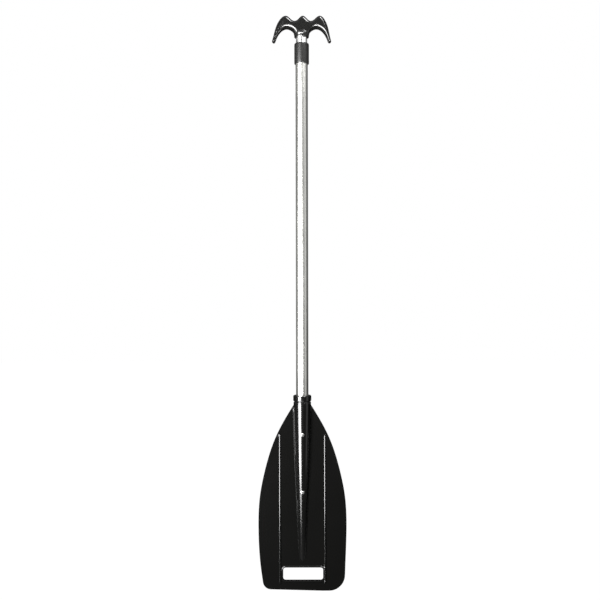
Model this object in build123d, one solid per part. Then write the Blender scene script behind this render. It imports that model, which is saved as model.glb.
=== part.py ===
from build123d import *

import math
import os

# Telescoping paddle with a boat-hook handle, all in millimetres.
# Frame: +Z runs up the shaft from the blade's tip edge to the top of the handle,
# +X runs across the blade, and the front faces -Y. The origin is on the shaft's
# axis at the level of the tip edge.
#
# A moulded blade is riveted to the outer tube. A collar bonded to the top of that
# tube guides the inner tube, which carries the hook handle. At its lower end the
# inner tube holds a twist lock: an eccentric journal that pushes a loose cam ring
# against the outer tube's wall when the handle is turned either way.

# ---------------------------------------------------------------- driving sizes
# Tubes and fits
tube_od = 25.4  # outer tube, the common one-inch size
tube_wall = 0.7
slide_gap = 0.4  # radial gap between the two tubes
inner_wall = 0.8
run_fit = 0.06  # radial clearance of what slides or turns in a bore
rest_gap = 0.3  # left between the lock and the plug it stops on

# Blade
blade_width = 181.2
blade_thickness = 4.0
widest_z = 137.0  # level of the blade's full width
shoulder_z = 382.0  # where the flanks leave the socket
flank_lean = 32.0  # degrees off the shaft, where the flanks start
left_tip_draw = 10.8  # how much narrower each side is at the tip's corners
right_tip_draw = 5.6
left_low_draw = 5.0  # and a little above them
right_low_draw = 2.8
low_side_z = 46.0
tip_skew = 3.4  # how much higher the tip's left corner is
skew_start_x = 40.0
left_tip_radius = 17.0
right_tip_radius = 32.5
blade_edge_radius = 1.6

# Two long ribs on each face
rib_x = 46.3
rib_radius = 2.6
rib_rise = 2.1  # above the blade's face
rib_top_z = 321.0
rib_bottom_z = 14.4

# Slot near the tip, for a hand or a hanging hook
slot_width = 82.0
slot_x = 1.2  # its middle, off the shaft's axis
slot_bottom_z = 21.7
slot_height = 26.3
slot_radius = 5.0
slot_rim_width = 3.2
slot_rim_rise = 1.4
slot_rim_radius = 0.9

# Socket and spine, round about the shaft. Each station is a height and how far
# the spine stands outside the full tube there
lip_wall = 5.95
lip_height = 11.6
lip_edge_radius = 1.6
lip_top_z = 402.0
spine_wall = 5.3  # at the lip
spine_stations = [(322.0, 3.6), (248.0, 1.1), (186.0, -1.9), (145.0, -3.4), (104.0, -5.1)]
spine_tip_radius = 0.5
spine_end_gap = 2.0  # from the slot to the spine's tip

# The outer tube's lower end is swaged down to follow the spine's taper
tube_bottom_z = 188.0
swage_top_z = 265.0
swage_depth = 3.5  # how much the radius shrinks

# Rivets
blade_rivet_levels = [204.6, 323.0]
rivet_shank_radius = 2.4
rivet_head_radius = 3.9
rivet_head_height = 1.3
rivet_bulb_radius = 3.1
rivet_bulb_height = 2.6
rivet_core_radius = 1.1
rivet_seat_depth = 0.6
rivet_seat_gap = 0.3
mandrel_recess = 0.9
mandrel_head_radius = 1.9
mandrel_head_height = 1.2

# Collar at the outer tube's top
collar_wall = 2.4
collar_length = 42.2
collar_lip = 5.0  # the part above the tube's end
collar_top_z = 1124.5
collar_top_radius = 2.4
collar_bottom_radius = 1.2

# Inner tube and handle
bare_length = 12.7  # of inner tube between the collar and the handle
tube_in_handle = 11.5
spigot_length = 38.0
handle_rivet_drop = 8.8  # below the handle's rim
handle_rivet_head_radius = 1.9
handle_rivet_head_height = 0.8
handle_rivet_shank_radius = 1.3
handle_rivet_length = 9.0

# Hook handle, measured up from the neck's rim and out from the axis
handle_height = 44.1
handle_half_width = 61.0
handle_thickness = 24.0
neck_wall = 3.6
neck_straight = 4.0  # height of its plain sleeve
neck_bead_height = 6.5
neck_bead = 1.0  # how far the bead over the sleeve stands out
neck_blend_height = 24.0
valley_x = 16.6
valley_drop = 10.6  # below the handle's top
peak_x = 34.8
shoulder_x = 48.3
shoulder_drop = 11.0
crown_shift = 2.4  # how far the peaks and valleys stand to the right
shoulder_shift = 1.2
prong_tip_drop = 11.6  # below the neck's rim
prong_tip_radius = 3.7
prong_tip_thickness = 18.0
prong_lean = 18.0  # degrees off the shaft, at the tip
throat_top = 17.6  # above the neck's rim
throat_top_x = 30.6
throat_outer_x = 44.4
throat_outer_height = 9.3
throat_corner_height = 4.5
handle_edge_radius = 2.4
full_thickness_x = 36.0

# Twist lock at the inner tube's lower end
inner_tube_bottom_z = 470.0
lock_spigot_length = 32.0
lock_flange = 4.0
lock_pin_radius = 1.5
lock_pin_end_gap = 0.3
ring_length = 10.0
ring_wall = 2.8
ring_slit = 2.0
lower_flange = 2.5
journal_radius = 6.0
journal_length = 14.5
end_play = 0.25  # of the glide ring and of the cam ring, at each face
cam_gap = 0.7  # between the cam ring and the tube when unlocked
cam_locked_gap = 0.05
lock_turn = 40.0  # degrees either way
cam_slit = 2.0
cam_groove_depth = 0.5
cam_groove_height = 1.0
cam_groove_count = 3
washer_radius = 9.0
washer_thickness = 1.2
screw_radius = 2.0
screw_length = 22.0
screw_head_radius = 4.0
screw_head_height = 2.8
screw_recess_radius = 1.5
screw_recess_depth = 1.6
tube_plug_length = 20.0
tube_plug_cup = 14.0
tube_plug_wall = 2.5

# ------------------------------------------------------------- what follows from them
tube_radius = tube_od / 2
tube_bore = tube_radius - tube_wall
inner_radius = tube_bore - slide_gap
inner_bore = inner_radius - inner_wall
collar_radius = tube_radius + collar_wall
neck_radius = inner_radius + neck_wall
swage_radius = tube_radius - swage_depth
lip_radius = tube_radius + lip_wall
spine_top_radius = tube_radius + spine_wall
slot_top_z = slot_bottom_z + slot_height
spine_end_z = slot_top_z + spine_end_gap
left_tip_x = left_tip_draw - blade_width / 2
right_tip_x = blade_width / 2 - right_tip_draw
tube_top_z = collar_top_z - collar_lip
rim_z = collar_top_z + bare_length
handle_top_z = rim_z + handle_height
handle_rivet_z = rim_z - handle_rivet_drop
swage_taper = (tube_radius - swage_radius) / (swage_top_z - tube_bottom_z)

groove_top_z = inner_tube_bottom_z - lock_flange
groove_bottom_z = groove_top_z - ring_length
journal_top_z = groove_bottom_z - lower_flange
journal_bottom_z = journal_top_z - journal_length
ring_radius = tube_bore - run_fit
ring_bore = ring_radius - ring_wall
cam_radius = tube_bore - cam_gap
eccentricity = (cam_gap - cam_locked_gap) / (2 * math.sin(math.radians(lock_turn / 2)))
screw_head_z = journal_bottom_z - washer_thickness
lock_end_z = screw_head_z - screw_head_height
tube_plug_top_z = lock_end_z - rest_gap


def cylinder(radius, bottom, top, x=0.0):
    """An upright cylinder between two levels, on an axis at x."""
    return Pos(x, 0, bottom) * Cylinder(
        radius, top - bottom, align=(Align.CENTER, Align.CENTER, Align.MIN)
    )


def pipe(radius, bore, bottom, top):
    """An upright pipe between two levels."""
    return cylinder(radius, bottom, top) - cylinder(bore, bottom, top)


def turned(points):
    """A solid turned about the shaft's axis from (radius, height) points."""
    wire = Polyline(*points, close=True)
    return revolve(make_face(Plane.XZ * wire), Axis.Z)


def across(radius, inner_y, outer_y, z):
    """A cylinder through the front wall at level z, between two distances from the axis."""
    return Pos(0, -inner_y, z) * Rot(90, 0, 0) * Cylinder(
        radius, outer_y - inner_y, align=(Align.CENTER, Align.CENTER, Align.MIN)
    )


def spine_radius(z):
    """The spine's radius at a level, straight between its stations."""
    stations = [(lip_top_z - lip_height, spine_wall)] + spine_stations
    for (upper_z, upper), (lower_z, lower) in zip(stations, stations[1:]):
        if z >= lower_z:
            return tube_radius + lower + (upper - lower) * (z - lower_z) / (upper_z - lower_z)
    return tube_radius + stations[-1][1]


def tube_radius_at(z):
    """The outer tube's outer radius at a level, with its swaged end."""
    return min(tube_radius, swage_radius + max(z - tube_bottom_z, 0.0) * swage_taper)


def chord(radius, half_width):
    """How far from the axis a flat of that half width lies inside a circle."""
    return math.sqrt(radius**2 - half_width**2)


# ------------------------------------------------------------------------- blade
def blade_side(sign, tip_x, tip_z, low_draw):
    """One side of the outline, from its tip corner up to the shoulder at the socket."""
    lean = math.radians(flank_lean)
    half = blade_width / 2
    lower = Spline(
        [(tip_x, tip_z), (sign * (half - low_draw), low_side_z), (sign * half, widest_z)],
        tangents=[(sign * 0.12, 1), (0, 1)],
    )
    upper = Spline(
        [
            (sign * half, widest_z),
            (sign * 0.966 * half, 194.0),
            (sign * 0.868 * half, 241.0),
            (sign * 0.594 * half, 318.0),
            (sign * spine_top_radius, shoulder_z),
        ],
        tangents=[(0, 1), (-sign * math.sin(lean), math.cos(lean))],
    )
    return lower, upper


def blade_plate():
    """The flat of the blade, with rounded tip corners."""
    left_low, left_up = blade_side(-1, left_tip_x, tip_skew, left_low_draw)
    right_low, right_up = blade_side(1, right_tip_x, 0, right_low_draw)
    tip = Polyline((left_tip_x, tip_skew), (skew_start_x, 0), (right_tip_x, 0))
    top = Line((-spine_top_radius, shoulder_z), (spine_top_radius, shoulder_z))
    face = make_face([left_low, left_up, top, right_up, right_low, tip])
    face = fillet(face.vertices().sort_by_distance((right_tip_x, 0, 0))[0], right_tip_radius)
    left_corner = face.vertices().sort_by_distance((left_tip_x, tip_skew, 0))[0]
    face = fillet(left_corner, left_tip_radius)
    plate = extrude(Plane.XZ * face, blade_thickness / 2, both=True)
    rims = plate.faces().filter_by(Axis.Y).edges()
    return fillet(rims, blade_edge_radius)


def rib(x, side):
    """One half-round rib with domed ends, on the face at that side."""
    y = side * (blade_thickness / 2 + rib_rise - rib_radius)
    low, high = rib_bottom_z + rib_radius, rib_top_z - rib_radius
    bar = Pos(x, y, 0) * cylinder(rib_radius, low, high)
    return bar + Pos(x, y, low) * Sphere(rib_radius) + Pos(x, y, high) * Sphere(rib_radius)


def slot_block(grow, depth, radius):
    """A rounded block the slot's size, grown all round."""
    outline = RectangleRounded(slot_width + 2 * grow, slot_height + 2 * grow, radius)
    middle = (slot_bottom_z + slot_top_z) / 2
    return extrude(Plane.XZ * Pos(slot_x, middle) * outline, depth / 2, both=True)


def slot_rim():
    """The raised rim round the slot, on both faces."""
    depth = blade_thickness + 2 * slot_rim_rise
    rim = slot_block(slot_rim_width, depth, slot_radius + slot_rim_width)
    return fillet(rim.faces().filter_by(Axis.Y).edges(), slot_rim_radius)


def spine():
    """The round spine and the socket's lip, before they are bored."""
    neck_z = lip_top_z - lip_height
    outside = [(spine_radius(z), z) for z, _ in spine_stations]
    tip = [(spine_tip_radius, spine_end_z), (0, spine_end_z)]
    body = turned([(0, neck_z), (spine_top_radius, neck_z)] + outside + tip)
    lip = cylinder(lip_radius, neck_z, lip_top_z)
    lip = fillet(lip.edges().filter_by(GeomType.CIRCLE), lip_edge_radius)
    return body + lip


def socket_bore():
    """The space that the outer tube fills."""
    return turned(
        [
            (0, tube_bottom_z),
            (swage_radius, tube_bottom_z),
            (tube_radius, swage_top_z),
            (tube_radius, lip_top_z),
            (0, lip_top_z),
        ]
    )


def rivet_seat_y(z):
    """Distance from the axis to the flat that a rivet's head sits on."""
    return spine_radius(z) - rivet_seat_depth


def make_blade():
    body = blade_plate() + spine()
    for x in (-rib_x, rib_x):
        for side in (-1, 1):
            body += rib(x, side)
    body += slot_rim()
    body -= socket_bore()
    body -= slot_block(0, 4 * lip_radius, slot_radius)
    for z in blade_rivet_levels:
        seat = rivet_seat_y(z)
        body -= across(rivet_head_radius + rivet_seat_gap, seat, lip_radius, z)
        body -= across(rivet_shank_radius, 0, seat, z)
    return body


# -------------------------------------------------------------------- outer tube
def make_outer_tube():
    tube = turned(
        [
            (swage_radius - tube_wall, tube_bottom_z),
            (swage_radius, tube_bottom_z),
            (tube_radius, swage_top_z),
            (tube_radius, tube_top_z),
            (tube_bore, tube_top_z),
            (tube_bore, swage_top_z),
        ]
    )
    for z in blade_rivet_levels:
        tube -= across(rivet_shank_radius, 0, tube_radius, z)
    return tube


def bulb_y(z):
    """Distance from the axis to the bulb's face against the tube's inner wall."""
    return chord(tube_radius_at(z) - tube_wall, rivet_bulb_radius) - slide_gap / 2


def blade_rivet(z):
    """A blind rivet: domed head, shank and the bulb it forms inside the tube."""
    seat, inner = rivet_seat_y(z), bulb_y(z)
    head = across(rivet_head_radius, seat, seat + rivet_head_height, z)
    top_edge = head.edges().filter_by(GeomType.CIRCLE).sort_by(Axis.Y)[0]
    head = fillet(top_edge, rivet_head_height * 0.7)
    shank = across(rivet_shank_radius, inner, seat, z)
    bulb = across(rivet_bulb_radius, inner - rivet_bulb_height, inner, z)
    core = across(rivet_core_radius, inner - rivet_bulb_height, seat + rivet_head_height, z)
    return head + shank + bulb - core


def blade_rivet_mandrel(z):
    """The broken-off mandrel left in a blind rivet."""
    seat, inner = rivet_seat_y(z), bulb_y(z)
    back = inner - rivet_bulb_height
    stem = across(rivet_core_radius, back, seat + rivet_head_height - mandrel_recess, z)
    return stem + across(mandrel_head_radius, back - mandrel_head_height, back, z)


def make_tube_plug():
    """A press-in cup that seals the outer tube and stops the closing stroke."""
    bottom = tube_plug_top_z - tube_plug_length
    plug = cylinder(tube_bore, bottom, tube_plug_top_z)
    return plug - cylinder(tube_bore - tube_plug_wall, bottom, bottom + tube_plug_cup)


def make_collar():
    """A sleeve over the tube's end, with a lip that guides the inner tube."""
    bottom = collar_top_z - collar_length
    collar = cylinder(collar_radius, bottom, collar_top_z)
    rings = collar.edges().filter_by(GeomType.CIRCLE).sort_by(Axis.Z)
    collar = fillet(rings[-1], collar_top_radius)
    ring = collar.edges().filter_by(GeomType.CIRCLE).sort_by(Axis.Z)[0]
    collar = fillet(ring, collar_bottom_radius)
    collar -= cylinder(tube_radius, bottom, tube_top_z)
    return collar - cylinder(inner_radius + run_fit, tube_top_z, collar_top_z)


# ------------------------------------------------------------------ inner tube
def make_inner_tube():
    tube = pipe(inner_radius, inner_bore, inner_tube_bottom_z, rim_z + tube_in_handle)
    tube -= across(handle_rivet_shank_radius, 0, inner_radius, handle_rivet_z)
    return tube - lock_pin_rod(inner_radius)


def handle_half_outline(sign):
    """One side of the handle's outline, from the top's middle round to the neck."""
    top, rim = handle_top_z, rim_z
    tip_angle = math.radians(prong_lean)
    along = (sign * math.sin(tip_angle), -math.cos(tip_angle))
    across_tip = (math.cos(tip_angle), sign * math.sin(tip_angle))
    centre_x = handle_half_width - prong_tip_radius
    centre_z = rim - prong_tip_drop + prong_tip_radius
    outer = (sign * (centre_x + prong_tip_radius * across_tip[0]),
             centre_z + prong_tip_radius * abs(across_tip[1]))
    inner = (sign * (centre_x - prong_tip_radius * across_tip[0]),
             centre_z - prong_tip_radius * abs(across_tip[1]))
    end = (sign * centre_x + prong_tip_radius * along[0], centre_z + prong_tip_radius * along[1])
    crown = (crown_shift, top)
    valley = (crown_shift + sign * valley_x, top - valley_drop)
    peak = (crown_shift + sign * peak_x, top)
    shoulder = (shoulder_shift + sign * shoulder_x, top - shoulder_drop)
    return [
        Spline([crown, valley], tangents=[(sign, 0), (sign, 0)]),
        Spline([valley, peak], tangents=[(sign, 0), (sign, 0)]),
        Spline([peak, shoulder, outer], tangents=[(sign, 0), along]),
        ThreePointArc(outer, end, inner),
        Spline(
            [
                inner,
                (sign * throat_outer_x, rim + throat_outer_height),
                (sign * throat_top_x, rim + throat_top),
            ],
            tangents=[(-along[0], -along[1]), (-sign, 0)],
        ),
        Spline(
            [
                (sign * throat_top_x, rim + throat_top),
                (sign * neck_radius, rim + throat_corner_height),
            ],
            tangents=[(-sign, 0), (0, -1)],
        ),
    ]


def handle_plan():
    """The handle seen from above: full thickness in the middle, thinner at the tips."""
    half, tip = handle_thickness / 2, prong_tip_thickness / 2
    corners = [
        (full_thickness_x, half),
        (handle_half_width, tip),
        (handle_half_width, -tip),
        (full_thickness_x, -half),
    ]
    corners += [(-x, y) for x, y in reversed(corners)]
    outline = make_face(Polyline(*corners, close=True))
    return Pos(0, 0, rim_z - handle_height) * extrude(outline, 3 * handle_height)


def make_hook_handle():
    left, right = handle_half_outline(-1), handle_half_outline(1)
    neck_line = Line(
        (-neck_radius, rim_z + throat_corner_height), (neck_radius, rim_z + throat_corner_height)
    )
    face = make_face(left + right + [neck_line])
    body = extrude(Plane.XZ * face, handle_thickness / 2, both=True)
    body = fillet(body.faces().filter_by(Axis.Y).edges(), handle_edge_radius)
    body &= handle_plan()
    neck = turned(
        [
            (0, rim_z),
            (neck_radius, rim_z),
            (neck_radius, rim_z + neck_straight),
            (neck_radius + neck_bead, rim_z + neck_bead_height),
            (handle_thickness / 2, rim_z + neck_blend_height),
            (0, rim_z + neck_blend_height),
        ]
    )
    body += neck
    body += cylinder(inner_bore, rim_z - spigot_length + tube_in_handle, rim_z + 1)
    body -= pipe(inner_radius, inner_bore, rim_z, rim_z + tube_in_handle)
    return body - handle_rivet_hole()


def handle_rivet_hole():
    return across(
        handle_rivet_shank_radius, inner_radius - handle_rivet_length, inner_radius, handle_rivet_z
    )


def make_handle_rivet():
    """A small drive rivet that pins the inner tube to the handle's spigot."""
    seat = inner_radius
    head = across(
        handle_rivet_head_radius, seat, seat + handle_rivet_head_height, handle_rivet_z
    )
    top_edge = head.edges().filter_by(GeomType.CIRCLE).sort_by(Axis.Y)[0]
    return fillet(top_edge, handle_rivet_head_height * 0.7) + handle_rivet_hole()


# ------------------------------------------------------------------- twist lock
def lock_pin_rod(half_length):
    """The pin's space across the inner tube."""
    z = inner_tube_bottom_z + lock_spigot_length / 2
    return Pos(0, 0, z) * Rot(90, 0, 0) * Cylinder(lock_pin_radius, 2 * half_length)


def make_lock_pin():
    return lock_pin_rod(chord(inner_radius, lock_pin_radius) - lock_pin_end_gap)


def make_lock_plug():
    """The plug in the inner tube's end: a groove for the glide ring, then the eccentric."""
    body = cylinder(inner_bore, inner_tube_bottom_z, inner_tube_bottom_z + lock_spigot_length)
    body += cylinder(inner_radius, groove_top_z, inner_tube_bottom_z)
    body += cylinder(ring_bore - run_fit, groove_bottom_z, groove_top_z)
    body += cylinder(inner_bore, journal_top_z, groove_bottom_z)
    body += cylinder(journal_radius, journal_bottom_z, journal_top_z, eccentricity)
    body -= cylinder(screw_radius, journal_bottom_z, journal_bottom_z + screw_length, eccentricity)
    return body - lock_pin_rod(inner_radius)


def make_glide_ring():
    """A split ring, snapped into the plug's groove, that centres it in the outer tube."""
    low, high = groove_bottom_z + end_play, groove_top_z - end_play
    ring = pipe(ring_radius, ring_bore, low, high)
    slit = Pos(0, tube_radius / 2, (low + high) / 2) * Box(ring_slit, tube_radius, 2 * ring_length)
    return ring - slit


def make_lock_cam():
    """The loose cam ring: its outside is true to the shaft, its bore to the journal."""
    low, high = journal_bottom_z + end_play, journal_top_z - end_play
    ring = cylinder(cam_radius, low, high)
    ring -= cylinder(journal_radius + run_fit, low, high, eccentricity)
    pitch = (high - low) / (cam_groove_count + 1)
    for index in range(cam_groove_count):
        middle = low + pitch * (index + 1)
        ring -= pipe(
            cam_radius + 1,
            cam_radius - cam_groove_depth,
            middle - cam_groove_height / 2,
            middle + cam_groove_height / 2,
        )
    slit = Pos(tube_radius / 2 + eccentricity, 0, (low + high) / 2)
    return ring - slit * Box(tube_radius, cam_slit, 2 * journal_length)


def make_cam_washer():
    washer = cylinder(washer_radius, screw_head_z, journal_bottom_z, eccentricity)
    return washer - cylinder(screw_radius, screw_head_z, journal_bottom_z, eccentricity)


def make_cam_screw():
    head = cylinder(screw_head_radius, lock_end_z, screw_head_z, eccentricity)
    recess = cylinder(
        screw_recess_radius, lock_end_z, lock_end_z + screw_recess_depth, eccentricity
    )
    shank = cylinder(
        screw_radius, screw_head_z, journal_bottom_z + screw_length, eccentricity
    )
    return head - recess + shank


PARTS = {
    "blade": make_blade,
    "outer_tube": make_outer_tube,
    "blade_rivets": lambda: Compound([blade_rivet(z) for z in blade_rivet_levels]),
    "blade_rivet_mandrels": lambda: Compound(
        [blade_rivet_mandrel(z) for z in blade_rivet_levels]
    ),
    "tube_plug": make_tube_plug,
    "collar": make_collar,
    "inner_tube": make_inner_tube,
    "hook_handle": make_hook_handle,
    "handle_rivet": make_handle_rivet,
    "lock_plug": make_lock_plug,
    "lock_pin": make_lock_pin,
    "glide_ring": make_glide_ring,
    "lock_cam": make_lock_cam,
    "cam_washer": make_cam_washer,
    "cam_screw": make_cam_screw,
}

os.makedirs("parts", exist_ok=True)
for name, make in PARTS.items():
    shape = make()
    export_step(shape, f"parts/{name}.step")
    print(f"{name}: {shape.volume / 1000:.2f} cm3")
print(f"eccentricity {eccentricity:.3f} mm")
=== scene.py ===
"""A telescoping boat paddle with a boat-hook handle, in a plain bright studio.

The CAD frame fixes every size and joint. Each class below is one sub-assembly: it reads
its levels from the frame, builds its visible surfaces with numpy and dresses them. All
lengths are in metres, in the frame's own axes: +Z up the shaft, +X across the blade, and
the front of the paddle faces -Y.
"""

import logging
from dataclasses import dataclass
from enum import Enum
from math import cos, pi, radians, sin
from typing import Any, Callable, Sequence

import bmesh
import bpy
import numpy as np
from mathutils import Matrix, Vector
from mathutils.geometry import delaunay_2d_cdt

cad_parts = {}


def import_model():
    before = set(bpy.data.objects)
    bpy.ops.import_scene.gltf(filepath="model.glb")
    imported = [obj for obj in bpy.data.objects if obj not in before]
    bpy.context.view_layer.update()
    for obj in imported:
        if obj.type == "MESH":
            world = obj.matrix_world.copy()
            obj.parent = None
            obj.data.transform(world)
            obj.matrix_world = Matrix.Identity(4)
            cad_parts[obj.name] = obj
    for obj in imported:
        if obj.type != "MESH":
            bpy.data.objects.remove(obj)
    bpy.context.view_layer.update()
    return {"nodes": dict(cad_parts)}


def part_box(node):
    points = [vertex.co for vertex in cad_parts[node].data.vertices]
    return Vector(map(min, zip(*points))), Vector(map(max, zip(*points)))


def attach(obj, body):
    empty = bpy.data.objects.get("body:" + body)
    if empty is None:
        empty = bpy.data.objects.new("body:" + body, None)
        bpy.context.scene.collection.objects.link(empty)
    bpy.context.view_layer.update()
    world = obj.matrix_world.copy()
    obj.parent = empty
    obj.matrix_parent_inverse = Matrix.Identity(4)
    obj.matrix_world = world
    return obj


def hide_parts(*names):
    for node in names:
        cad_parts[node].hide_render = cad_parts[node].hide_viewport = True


MM = 0.001
SWAGE_TOP_Z = 265.0 * MM  # the outer tube narrows below this level
SWAGE_DEPTH = 3.5 * MM  # by this much in radius, at its lower end
ROUND = 128  # steps round a shaft piece
LOG = logging.getLogger("paddle")
Array = np.ndarray
Point = Sequence[float]


# ------------ shader maths
class Wire:
    """A shader value that Python's operators join with Math nodes."""

    def __init__(self, shader: "Shader", socket: Any) -> None:
        """Wraps a socket of one shader's tree."""
        self.shader = shader
        self.socket = socket

    def _math(self, operation: str, first: Any, second: Any = 0.0) -> "Wire":
        """Adds a Math node and returns its result."""
        return self.shader.node("ShaderNodeMath", {"operation": operation}, {0: first, 1: second})

    def __add__(self, other: Any) -> "Wire":
        """This plus other."""
        return self._math("ADD", self, other)

    __radd__ = __add__

    def __sub__(self, other: Any) -> "Wire":
        """This minus other."""
        return self._math("SUBTRACT", self, other)

    def __mul__(self, other: Any) -> "Wire":
        """This times other."""
        return self._math("MULTIPLY", self, other)

    def __abs__(self) -> "Wire":
        """The size of this, without its sign."""
        return self._math("ABSOLUTE", self)

    def band(self, low: float, high: float) -> "Wire":
        """Rises smoothly from 0 to 1 as this goes from low to high."""
        settings = {"interpolation_type": "SMOOTHSTEP"}
        return self.shader.node("ShaderNodeMapRange", settings, {0: self, 1: low, 2: high})


class Shader:
    """One material's node tree, with a Principled surface."""

    def __init__(self, name: str) -> None:
        """Starts an empty material of that name."""
        self.material = bpy.data.materials.new(name)
        self.material.use_nodes = True
        self.tree = self.material.node_tree
        self.surface = self.tree.nodes["Principled BSDF"]

    def node(
        self, kind: str, settings: dict[str, Any], inputs: dict[Any, Any], output: Any = 0
    ) -> Wire:
        """Adds one node, with its properties and a value or a Wire for each input.

        Sockets go by name or place. Returns the chosen output.
        """
        made = self.tree.nodes.new(kind)
        for key, value in settings.items():
            setattr(made, key, value)
        self._fill(made, inputs)
        return Wire(self, made.outputs[output])

    def _fill(self, made: Any, inputs: dict[Any, Any]) -> None:
        """Sets or links the sockets of a node."""
        for key, value in inputs.items():
            if isinstance(value, Wire):
                self.tree.links.new(value.socket, made.inputs[key])
            else:
                made.inputs[key].default_value = value

    def place(self, stretch: Point = (1.0, 1.0, 1.0)) -> Wire:
        """Object coordinates, stretched along the axes."""
        spot = self.node("ShaderNodeTexCoord", {}, {}, "Object")
        return self.node("ShaderNodeMapping", {}, {"Vector": spot, "Scale": tuple(stretch)})

    def depth(self) -> Wire:
        """Distance in front of or behind the mid plane."""
        return abs(self.node("ShaderNodeSeparateXYZ", {}, {0: self.place()}, "Y"))

    def noise(self, scale: float, detail: float = 3.0, stretch: Point = (1.0, 1.0, 1.0)) -> Wire:
        """Cloudy noise from 0 to 1, with scale patches to a metre."""
        inputs = {"Vector": self.place(stretch), "Scale": scale, "Detail": detail}
        return self.node("ShaderNodeTexNoise", {}, inputs, "Fac")

    def cells(self, scale: float) -> Wire:
        """Distance from the middle of the nearest small cell, scale cells to a metre."""
        inputs = {"Vector": self.place(), "Scale": scale}
        return self.node("ShaderNodeTexVoronoi", {}, inputs, "Distance")

    def blend(self, factor: Wire, low: Point, high: Point) -> Wire:
        """A colour between low and high."""
        settings = {"data_type": "RGBA"}
        inputs = {0: factor, 6: (*low, 1.0), 7: (*high, 1.0)}
        return self.node("ShaderNodeMix", settings, inputs, 2)

    def bump(self, height: Wire, strength: float, distance: float) -> Wire:
        """A normal roughened by a height."""
        inputs = {"Height": height, "Strength": strength, "Distance": distance}
        return self.node("ShaderNodeBump", {}, inputs, "Normal")

    def finish(self, **inputs: Any) -> bpy.types.Material:
        """Sets the surface's sockets, named with underscores, and returns the material."""
        self._fill(self.surface, {key.replace("_", " "): value for key, value in inputs.items()})
        return self.material


# ------------ finishes
class Grain(Enum):
    """How a moulding's surface was textured in its tool: grains to a metre and depth."""

    SATIN = (1500.0, 0.000012)
    FINE = (1100.0, 0.00002)
    MOTTLED = (520.0, 0.00005)


@dataclass(frozen=True)
class MouldedBlack:
    """Black moulded plastic: fine tool grain, soft flow clouds and faint handling scuffs.

    The tool was polished where the moulding stands out past polish_from and blasted dull
    where it lies lower.
    """

    name: str
    grain: Grain
    tone: float = 0.0016
    roughness: float = 0.17
    scuffs: float = 0.10
    polish_from: float = 0.0
    gloss: float = 1.0

    def material(self) -> bpy.types.Material:
        """Builds the finish."""
        shader = Shader(self.name)
        count, depth = self.grain.value
        clouds = shader.noise(9.0, 4.0)
        grain = shader.noise(count, 2.0)
        scratches = shader.noise(210.0, 2.0, (1.0, 1.0, 0.06)).band(0.60, 0.74)
        crossing = shader.noise(160.0, 2.0, (0.08, 1.0, 1.0)).band(0.62, 0.76)
        wear = (scratches + crossing) * shader.noise(14.0, 2.0).band(0.50, 0.68) * self.scuffs
        dark = (self.tone, self.tone, 0.94 * self.tone)
        light = (3.0 * self.tone, 3.0 * self.tone, 2.9 * self.tone)
        raised = shader.depth().band(self.polish_from, self.polish_from + 0.5 * MM)
        return shader.finish(
            Base_Color=shader.blend(clouds * 0.22 + wear * 0.5, dark, light),
            Roughness=self.roughness + 0.04 + (clouds - 0.5) * 0.06 + wear * 0.16,
            Specular_IOR_Level=0.04,
            Coat_Weight=(0.04 + raised * 0.96) * self.gloss,
            Coat_Roughness=self.roughness,
            Normal=shader.bump(grain + wear * 0.25, 0.5, depth),
        )


@dataclass(frozen=True)
class DrawnAluminium:
    """Aluminium tube: lines drawn along its length under a satin skin, with faint smudges."""

    name: str
    colour: tuple[float, float, float] = (0.80, 0.80, 0.765)
    roughness: float = 0.34
    lines: float = 0.05

    def material(self) -> bpy.types.Material:
        """Builds the finish."""
        shader = Shader(self.name)
        drawn = shader.noise(1300.0, 3.0, (1.0, 1.0, 0.004))
        smudge = shader.noise(17.0, 4.0, (1.0, 1.0, 0.45)).band(0.42, 0.72)
        specks = shader.cells(420.0).band(0.0, 0.09)
        shade = tuple(0.90 * part for part in self.colour)
        return shader.finish(
            Base_Color=shader.blend((drawn - 0.5) * 0.7 + smudge * 0.4, self.colour, shade),
            Metallic=1.0,
            Roughness=self.roughness + (drawn - 0.5) * self.lines + smudge * 0.05,
            Normal=shader.bump(drawn * 0.8 + specks * 0.2, 0.25, 0.00001),
        )


@dataclass(frozen=True)
class TurnedMetal:
    """Small fasteners: bright metal with turning rings about one axis and dull patches."""

    name: str
    colour: tuple[float, float, float]
    roughness: float = 0.30

    def material(self) -> bpy.types.Material:
        """Builds the finish."""
        shader = Shader(self.name)
        grain = shader.noise(2600.0, 2.0)
        dull = shader.noise(420.0, 3.0).band(0.4, 0.7)
        shade = tuple(0.72 * part for part in self.colour)
        return shader.finish(
            Base_Color=shader.blend(dull, self.colour, shade),
            Metallic=1.0,
            Roughness=self.roughness + dull * 0.14,
            Normal=shader.bump(grain, 0.3, 0.000006),
        )


@dataclass(frozen=True)
class NaturalNylon:
    """Unpigmented moulded nylon: warm off-white, waxy, with soft clouds and a fine grain."""

    name: str
    colour: tuple[float, float, float] = (0.70, 0.68, 0.60)

    def material(self) -> bpy.types.Material:
        """Builds the finish."""
        shader = Shader(self.name)
        clouds = shader.noise(130.0, 3.0)
        shade = tuple(0.86 * part for part in self.colour)
        return shader.finish(
            Base_Color=shader.blend(clouds, self.colour, shade),
            Roughness=0.38 + clouds * 0.14,
            Subsurface_Weight=0.12,
            Normal=shader.bump(shader.noise(1400.0, 2.0), 0.3, 0.00001),
        )


# ------------ surfaces
def unit(vectors: Array) -> Array:
    """Each row scaled to length 1."""
    return vectors / np.linalg.norm(vectors, axis=-1, keepdims=True)


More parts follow.
